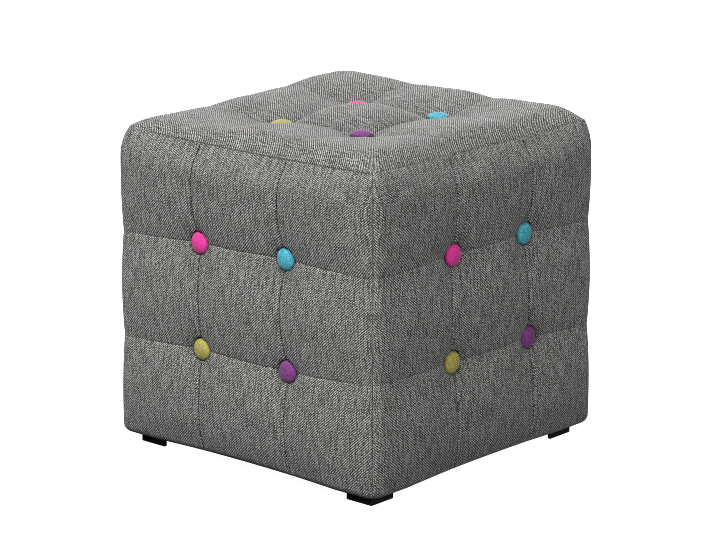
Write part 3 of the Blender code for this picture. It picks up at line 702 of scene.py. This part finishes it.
def top_height(x, y, quilted):
    """Height of the top's face: round rim, nine puffs, four pulled buttons."""
    start = seam_height(np.minimum(np.abs(x), np.abs(y)) * HALF_WIDTH / RIM_HALF)
    if not quilted:
        return start + (crest_height(x, y) - start) * rim_rounding(x) * rim_rounding(y)
    columns, rows = top_columns(y), top_rows(x)
    across_x, across_y = top_valley(x, y, columns), top_valley(y, x, rows)
    height = crest_height(x, y) - (across_x + across_y - across_x * across_y / TOP_CHANNEL_DEPTH)
    crease = np.zeros_like(x)
    near_button = np.zeros_like(x)
    for place in top_buttons().values():
        distance = np.maximum(np.hypot(x - place[0], y - place[1]) - BUTTON_RADIUS, 0.0)
        height -= TOP_PULL_DEPTH * np.exp(-distance / TOP_PULL_REACH)
        near_button = np.maximum(near_button, np.exp(-distance / TOP_CREASE_FADE))
    for position, lines in ((x, columns), (y, rows)):
        for line in lines[1:3]:
            crease = np.maximum(crease, np.exp(-np.abs(position - line) / CREASE_WIDTH))
    height -= TOP_CREASE * near_button * crease
    height += unevenness(TOP_SEED, x, y)
    for colour, place in top_buttons().items():
        under = np.hypot(x - place[0], y - place[1]) < BUTTON_RADIUS
        height = np.where(under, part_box(f"top_button_{colour}")[0].z - SEAT_SINK, height)
    return start + (height - start) * rim_rounding(x) * rim_rounding(y)


def top_face(x, y, quilted=True):
    """Points of the top's face, as quilted or as cut out: square rings, bent round the corners."""
    level = np.maximum(np.abs(x), np.abs(y))
    share = np.clip(level * 2.0 / RIM_HALF - 1.0, 0.0, 1.0)
    softening = np.where(y < 0.0, np.where(x < 0.0, CORNERS["front"][2], CORNERS["right"][2]),
                         np.where(x < 0.0, CORNERS["left"][2], CORNERS["back"][2]))
    radius = (CORNER_RADIUS + softening - SEAM_INSET) * share
    radius += TOP_CORNER_SOFTNESS * np.sin(math.pi * share)
    inward = EDGE_CREASE * np.exp(-((RIM_HALF - level) / EDGE_CREASE_WIDTH) ** 2)
    from_x = np.abs(x) >= np.abs(y)
    along = np.where(from_x, y, x)
    ring_along, ring_out = ring_point(along, level, radius, np.maximum(radius, TINY))
    shrink = (level - inward) / np.maximum(level, TINY)
    ring_along, ring_out = ring_along * shrink, ring_out * shrink
    ring_x = np.where(from_x, np.copysign(ring_out, x), ring_along)
    ring_y = np.where(from_x, ring_along, np.copysign(ring_out, y))
    return np.stack([ring_x, ring_y, top_height(x, y, quilted)], axis=-1)


def top_painted_shade(x, y):
    """Painted shade on the top: round its buttons, in its channels and in the creases near them."""
    shade = np.zeros_like(x)
    near_button = np.zeros_like(x)
    for place in top_buttons().values():
        past = np.maximum(np.hypot(x - place[0], y - place[1]) - BUTTON_RADIUS, 0.0)
        shade = np.maximum(shade, BUTTON_SHADE * np.exp(-past / BUTTON_SHADE_REACH))
        near_button = np.maximum(near_button, np.exp(-past / TOP_CREASE_FADE))
    for position, along, lines in ((x, y, top_columns(y)), (y, x, top_rows(x))):
        shade = np.maximum(shade, CHANNEL_SHADE * top_valley(position, along, lines) / TOP_CHANNEL_DEPTH)
        for line in lines[1:3]:
            crease = np.exp(-((position - line) / FOLD_SHADE_WIDTH) ** 2)
            shade = np.maximum(shade, CREASE_SHADE * near_button * crease)
    return shade


def top_panel(finish):
    """The padded seat, in place of its CAD solid."""
    x, y = crossing_grid(top_columns, top_rows, TOP_STEPS, TOP_STEPS)
    face = top_face(x, y)
    inner_share = (RIM_HALF - PAD_DEPTH) / RIM_HALF
    inner = np.stack([x * inner_share, y * inner_share, np.full_like(x, INNER_TOP)], axis=-1)
    along, up = cloth_lengths(top_face(x, y, quilted=False))
    panel = padded_piece("top_padded_panel", face, inner, (up, -along), top_painted_shade(x, y))
    panel.data.materials.append(finish)
    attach(panel, "root")
    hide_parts("top_panel")


top_panel(twill)


# ---------------------------------------------------------------------- tuck stitching
# Each upright tuck is topstitched in black polyester thread. The stitches lie at the
# bottom of the fold and stop where a button is pulled over them.

STITCH_SIZES = {"Pitch": 0.0046, "Stitch length": 0.0030, "Thread radius": 0.00065}
STITCH_LIFT = 0.0007        # of a stitch's middle above the bottom of the fold
STITCH_CLEAR = 0.004        # from a button or the seam
RUN_POINTS = 40             # of a line of stitches between two buttons
THREAD_BLACK = "060606"
THREAD_HAIR = "161616"
HAIRS_PER_METRE = 1500.0


def stitch_runs(side):
    """Points along the fold of each tuck of a side, one list for each stretch between buttons."""
    buttons = side_buttons(side)
    axes = side_axes(side)
    runs = []
    for number in range(2):
        low, high = buttons[number + 2][1], buttons[number][1]
        past = BUTTON_RADIUS + STITCH_CLEAR
        for start, end in ((HEM_HEIGHT + HEM_RADIUS, low - past), (low + past, high - past),
                           (high + past, SEAM_HEIGHT - SEAM_SAG - STITCH_CLEAR)):
            heights = np.linspace(start, end, RUN_POINTS)
            across = tuck_lines(side, heights)[number + 1]
            points = side_face(side, across, heights)
            points[:, 1] += STITCH_LIFT
            runs.append(points @ axes)
    return runs


def stitch_tree(thread):
    """Geometry nodes that lay capsule-shaped stitches along every line of a mesh."""
    tree = bpy.data.node_groups.new("row_of_stitches", "GeometryNodeTree")
    tree.interface.new_socket("Lines", in_out="INPUT", socket_type="NodeSocketGeometry")
    tree.interface.new_socket("Stitches", in_out="OUTPUT", socket_type="NodeSocketGeometry")
    for size in STITCH_SIZES:
        tree.interface.new_socket(size, in_out="INPUT", socket_type="NodeSocketFloat")
    given = add_node(tree, "NodeGroupInput")
    curve = add_node(tree, "GeometryNodeMeshToCurve", mesh=given.outputs["Lines"])
    places = add_node(tree, "GeometryNodeResampleCurve", {"mode": "LENGTH"}, curve=curve.outputs["Curve"],
                      length=given.outputs["Pitch"])
    tangent = add_node(tree, "GeometryNodeInputTangent")
    heading = add_node(tree, "FunctionNodeAlignRotationToVector", {"axis": "Z"},
                       vector=tangent.outputs["Tangent"])
    half = add_node(tree, "ShaderNodeMath", {"operation": "MULTIPLY"}, i0=given.outputs["Stitch length"],
                    i1=0.5)
    size = add_node(tree, "ShaderNodeCombineXYZ", x=given.outputs["Thread radius"],
                    y=given.outputs["Thread radius"], z=half.outputs["Value"])
    capsule = add_node(tree, "GeometryNodeMeshUVSphere", segments=6, rings=5, radius=1.0)
    stitches = add_node(tree, "GeometryNodeInstanceOnPoints", points=places.outputs["Curve"],
                        instance=capsule.outputs["Mesh"], rotation=heading.outputs["Rotation"],
                        scale=size.outputs["Vector"])
    real = add_node(tree, "GeometryNodeRealizeInstances", geometry=stitches.outputs["Instances"])
    smooth = add_node(tree, "GeometryNodeSetShadeSmooth", geometry=real.outputs["Geometry"])
    threaded = add_node(tree, "GeometryNodeSetMaterial", geometry=smooth.outputs["Geometry"],
                        material=thread)
    add_node(tree, "NodeGroupOutput", stitches=threaded.outputs["Geometry"])
    return tree


def made_by(tree, sizes, name, points, edges):
    """A plain mesh piece from what a tree of geometry nodes makes of some lines, at these sizes."""
    lines = bpy.data.meshes.new(f"{name}_lines")
    lines.from_pydata(points, edges, [])
    carrier = bpy.data.objects.new(f"{name}_lines", lines)
    bpy.context.scene.collection.objects.link(carrier)
    maker = carrier.modifiers.new("make", "NODES")
    maker.node_group = tree
    for socket in tree.interface.items_tree:
        if socket.name in sizes:
            maker[socket.identifier] = sizes[socket.name]
    evaluated = carrier.evaluated_get(bpy.context.evaluated_depsgraph_get())
    mesh = bpy.data.meshes.new_from_object(evaluated)
    mesh.name = name
    bpy.data.objects.remove(carrier, do_unlink=True)
    bpy.data.meshes.remove(lines)
    piece = bpy.data.objects.new(name, mesh)
    bpy.context.scene.collection.objects.link(piece)
    return piece


def spun_thread():
    """Spun polyester sewing thread: black and matt, a little hairy."""
    finish, tree, shader = new_finish("spun_polyester_thread", roughness=0.85, ior=1.5)
    place = add_node(tree, "ShaderNodeTexCoord")
    hairs = add_node(tree, "ShaderNodeTexNoise", vector=place.outputs["Object"],
                     scale=HAIRS_PER_METRE)
    colour = add_node(tree, "ShaderNodeMix", {"data_type": "RGBA"}, factor=hairs.outputs["Fac"],
                      a=tone(THREAD_BLACK), b=tone(THREAD_HAIR))
    tree.links.new(colour.outputs["Result"], shader.inputs["Base Color"])
    return finish


def tuck_stitching():
    """All the stitches of the eight tucks, as one piece."""
    points, edges = [], []
    for side in SIDES:
        for run in stitch_runs(side):
            start = len(points)
            points.extend(run.tolist())
            edges.extend((start + step, start + step + 1) for step in range(len(run) - 1))
    piece = made_by(stitch_tree(spun_thread()), STITCH_SIZES, "tuck_stitching", points, edges)
    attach(piece, "root")


tuck_stitching()


# ---------------------------------------------------------------------- buttons
# Twenty covered buttons, four to a panel: a pressed shell with wool felt drawn over it
# and gathered behind. A cord through the padding pulls each one into its seat.

BUTTON_COLOURS = {"pink": ("ff48b4", "d42588"), "turquoise": ("62d2ea", "2e8296"),
                  "lime": ("d0c468", "8a823c"), "purple": ("9a4a9c", "622868")}
BUTTON_SEGMENTS = 48
BUTTON_EDGE = 0.0030        # straight part of the rim
BUTTON_ROUND = 0.0012
BUTTON_BACK = 0.5           # first ring of the flat back, as a share of the radius
ROUND_STEPS = 3
DOME_RINGS = 12
RIM_SHADOW = "161414"         # painted shadow: the rim sits in its seat's shadow
RIM_SHADE = 0.85
RIM_TOP = 0.0064            # the shade ends at this height
FELT_UNEVEN = 0.00012       # the felt lies in two, three and seven soft folds round a button
FELT_FIBRE = 0.0014
FELT_MOTTLE = (0.40, 0.60)
FELT_BUMP = 0.00022


def felt(name, pale, deep):
    """Wool felt: matted fibres with a soft sheen, mottled between a paler and a deeper shade."""
    finish, tree, shader = new_finish(f"{name}_wool_felt", roughness=0.88, ior=1.5, sheen_weight=0.25,
                                      sheen_roughness=0.4)
    place = add_node(tree, "ShaderNodeTexCoord")
    fibres = add_node(tree, "ShaderNodeTexNoise", vector=place.outputs["Object"],
                      scale=1.0 / FELT_FIBRE, detail=3.0, roughness=0.7)
    mottle = add_node(tree, "ShaderNodeMapRange", value=fibres.outputs["Fac"],
                      from_min=FELT_MOTTLE[0], from_max=FELT_MOTTLE[1])
    colour = add_node(tree, "ShaderNodeMix", {"data_type": "RGBA"}, factor=mottle.outputs["Result"],
                      a=tone(deep), b=tone(pale))
    # painted shadow: a mesh attribute darkens the felt low on its rim
    rim = add_node(tree, "ShaderNodeAttribute", {"attribute_name": "Rim_shade"})
    shaded = add_node(tree, "ShaderNodeMix", {"data_type": "RGBA"}, factor=rim.outputs["Fac"],
                      a=colour.outputs["Result"], b=tone(RIM_SHADOW))
    bump = add_node(tree, "ShaderNodeBump", height=fibres.outputs["Fac"], distance=FELT_BUMP)
    tree.links.new(shaded.outputs["Result"], shader.inputs["Base Color"])
    tree.links.new(bump.outputs["Normal"], shader.inputs["Normal"])
    return finish


def button_outline(radius, rise):
    """Half outline of a covered button, from its flat back round the rim to its dome."""
    outline = [(radius * BUTTON_BACK, 0.0), (radius - BUTTON_ROUND, 0.0)]
    for step in range(1, ROUND_STEPS + 1):
        angle = math.pi / 2.0 * step / ROUND_STEPS
        reach = radius - BUTTON_ROUND * (1.0 - math.sin(angle))
        outline.append((reach, BUTTON_ROUND * (1.0 - math.cos(angle))))
    for step in range(DOME_RINGS):
        angle = math.pi / 2.0 * step / DOME_RINGS
        height = BUTTON_EDGE + (rise - BUTTON_EDGE) * math.sin(angle)
        outline.append((radius * math.cos(angle), height))
    return outline


def covered_button(node, outward, finish):
    """A felt-covered button in place of its CAD node, domed along outward."""
    low, high = (np.array(corner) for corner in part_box(node))
    centre = (low + high) / 2.0
    size = high - low
    axis = int(np.argmax(np.abs(outward)))
    rise = size[axis]
    radius = max(np.delete(size, axis)) / 2.0
    centre[axis] = low[axis] if outward[axis] > 0 else high[axis]
    side_one = np.roll(np.abs(outward), 1)
    side_two = np.cross(outward, side_one)
    draw = np.random.default_rng(sum(map(ord, node)))
    phases = draw.uniform(0.0, math.tau, 3)
    outline = button_outline(radius, rise)
    points = [centre]
    for ring, (ring_radius, height) in enumerate(outline):
        for segment in range(BUTTON_SEGMENTS):
            angle = math.tau * segment / BUTTON_SEGMENTS
            wobble = FELT_UNEVEN * (math.sin(2 * angle + phases[0]) + math.sin(3 * angle + phases[1])
                                    + 0.5 * math.sin(7 * angle + phases[2] + ring))
            reach = ring_radius - abs(wobble)
            points.append(centre + side_one * reach * math.cos(angle) + side_two * reach * math.sin(angle)
                          + outward * height)
    points.append(centre + outward * rise)
    faces = []
    last = len(points) - 1
    for segment in range(BUTTON_SEGMENTS):
        ahead = (segment + 1) % BUTTON_SEGMENTS
        faces.append((0, 1 + ahead, 1 + segment))
        for ring in range(len(outline) - 1):
            start = 1 + ring * BUTTON_SEGMENTS
            faces.append((start + segment, start + ahead, start + BUTTON_SEGMENTS + ahead,
                          start + BUTTON_SEGMENTS + segment))
        start = 1 + (len(outline) - 1) * BUTTON_SEGMENTS
        faces.append((start + segment, start + ahead, last))
    mesh = bpy.data.meshes.new(f"covered_{node}")
    mesh.from_pydata([tuple(point) for point in points], [], faces)
    heights = (np.array(points) - centre) @ outward
    # painted shadow low on the rim, fading out up the dome
    rim = RIM_SHADE * np.clip((RIM_TOP - heights) / (RIM_TOP - BUTTON_EDGE), 0.0, 1.0)
    mesh.attributes.new("Rim_shade", "FLOAT", "POINT").data.foreach_set("value", rim.astype(np.float32))
    mesh.shade_smooth()
    mesh.materials.append(finish)
    piece = bpy.data.objects.new(f"covered_{node}", mesh)
    bpy.context.scene.collection.objects.link(piece)
    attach(piece, "root")
    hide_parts(node)


for colour, (pale, deep) in BUTTON_COLOURS.items():
    wool = felt(colour, pale, deep)
    for side in SIDES:
        covered_button(f"{side}_button_{colour}", side_axes(side)[1], wool)
    covered_button(f"top_button_{colour}", np.array((0.0, 0.0, 1.0)), wool)


# ---------------------------------------------------------------------- room
# A back-lit white table that runs out of sight, and three large soft lamps: one before
# each side that shows, and a low one behind, which picks out the crests of the seat. The
# camera stands where the photograph was taken from.

TABLE_WHITE = "b4b4b4"
TABLE_GLOW = 0.97
TABLE_SIZE = 60.0           # from the stool to each edge
STUDIO_WHITE = 0.02
LAMP_SOFTNESS = 36.0        # degrees that a lamp spans, seen from the stool
# Lamps: degrees above the horizon, degrees from straight in front towards the right, power.
LAMPS = {"front_lamp": (53.0, -8.0, 2.98), "right_lamp": (30.0, 62.0, 1.92),
         "back_lamp": (14.0, 221.0, 1.8)}

CAMERA_TURN = 41.307        # degrees round to the right of straight in front
CAMERA_RISE = 14.693
CAMERA_DISTANCE = 3.600
CAMERA_SIDESTEP = 0.0014
AIM_HEIGHT = 0.2068
CAMERA_LENS = 152.5         # millimetres, before a sensor of SENSOR_WIDTH
SENSOR_WIDTH = 36.0
PIXEL_BLUR = 0.9            # the photograph is crisp, down to single yarns


def studio_table():
    """A table of white acrylic lit from below: it shows white, and its glow is kept off the stool."""
    corners = [(x * TABLE_SIZE, y * TABLE_SIZE, 0.0) for x, y in ((-1, -1), (1, -1), (1, 1), (-1, 1))]
    mesh = bpy.data.meshes.new("studio_table")
    mesh.from_pydata(corners, [], [(0, 1, 2, 3)])
    table = bpy.data.objects.new("studio_table", mesh)
    bpy.context.scene.collection.objects.link(table)
    acrylic, _, _ = new_finish("opal_acrylic", base_color=tone(TABLE_WHITE), roughness=0.95,
                               emission_color=(1.0, 1.0, 1.0, 1.0), emission_strength=TABLE_GLOW)
    mesh.materials.append(acrylic)
    table.visible_diffuse = False
    table.visible_glossy = False


studio_table()

studio = bpy.data.worlds.new("white_studio")
studio.use_nodes = True
studio.node_tree.nodes["Background"].inputs["Color"].default_value = (1.0, 1.0, 1.0, 1.0)
studio.node_tree.nodes["Background"].inputs["Strength"].default_value = STUDIO_WHITE
bpy.context.scene.world = studio

for name, (height, turned, power) in LAMPS.items():
    light = bpy.data.lights.new(name, "SUN")
    light.energy = power
    light.angle = math.radians(LAMP_SOFTNESS)
    lamp = bpy.data.objects.new(name, light)
    lamp.rotation_euler = (math.radians(90.0 - height), 0.0, math.radians(turned))
    bpy.context.scene.collection.objects.link(lamp)

view = bpy.data.cameras.new("camera")
view.lens = CAMERA_LENS
view.sensor_width = SENSOR_WIDTH
camera = bpy.data.objects.new("camera", view)
turn, rise = math.radians(CAMERA_TURN), math.radians(CAMERA_RISE)
back = np.array((math.sin(turn) * math.cos(rise), -math.cos(turn) * math.cos(rise), math.sin(rise)))
right = np.array((math.cos(turn), math.sin(turn), 0.0))
camera.location = right * CAMERA_SIDESTEP + np.array((0.0, 0.0, AIM_HEIGHT)) + back * CAMERA_DISTANCE
camera.rotation_euler = (math.radians(90.0 - CAMERA_RISE), 0.0, turn)
bpy.context.scene.collection.objects.link(camera)
bpy.context.scene.camera = camera
bpy.context.scene.view_settings.view_transform = "Standard"
bpy.context.scene.cycles.filter_width = PIXEL_BLUR
